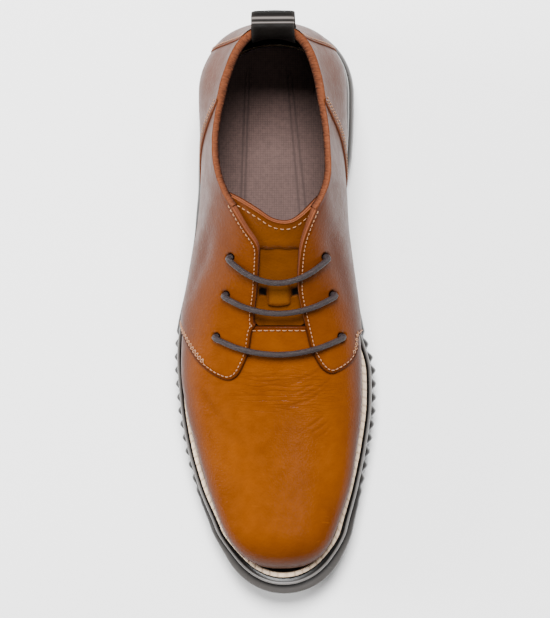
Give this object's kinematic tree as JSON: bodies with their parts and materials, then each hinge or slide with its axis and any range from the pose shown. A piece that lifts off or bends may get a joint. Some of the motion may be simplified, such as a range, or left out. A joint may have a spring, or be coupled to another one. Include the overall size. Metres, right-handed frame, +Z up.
{
  "type": "chukka boot",
  "caption": "Ankle-high leather chukka boot for the right foot: open lacing over a tongue, stitched welt, ribbed rubber sole with lugs and a pull loop at the heel.",
  "frame": {"origin": "on the floor under the middle of the sole's length and width", "axes": "+Z up from the floor, +Y from toe to heel, +X towards the inner side of the foot"},
  "size_m": [0.1077, 0.301, 0.1232],
  "materials": {
    "sole_rubber": "satin",
    "tread_rubber": "matte",
    "welt_strip": "matte",
    "upper_leather": "waxed",
    "tongue_leather": "waxed",
    "keeper_leather": "satin",
    "footbed_cloth": "woven",
    "lace_cord": "waxed",
    "strap_leather": "satin"
  },
  "bodies": {
    "root": {"outsole": "tread_rubber", "midsole": "sole_rubber", "welt": "welt_strip", "insole": "footbed_cloth", "upper": "upper_leather", "tongue": "tongue_leather", "lace_keeper": "keeper_leather", "lace_bar_1": "lace_cord", "lace_bar_2": "lace_cord", "lace_bar_3": "lace_cord", "pull_loop": "strap_leather"}
  },
  "joints": []
}
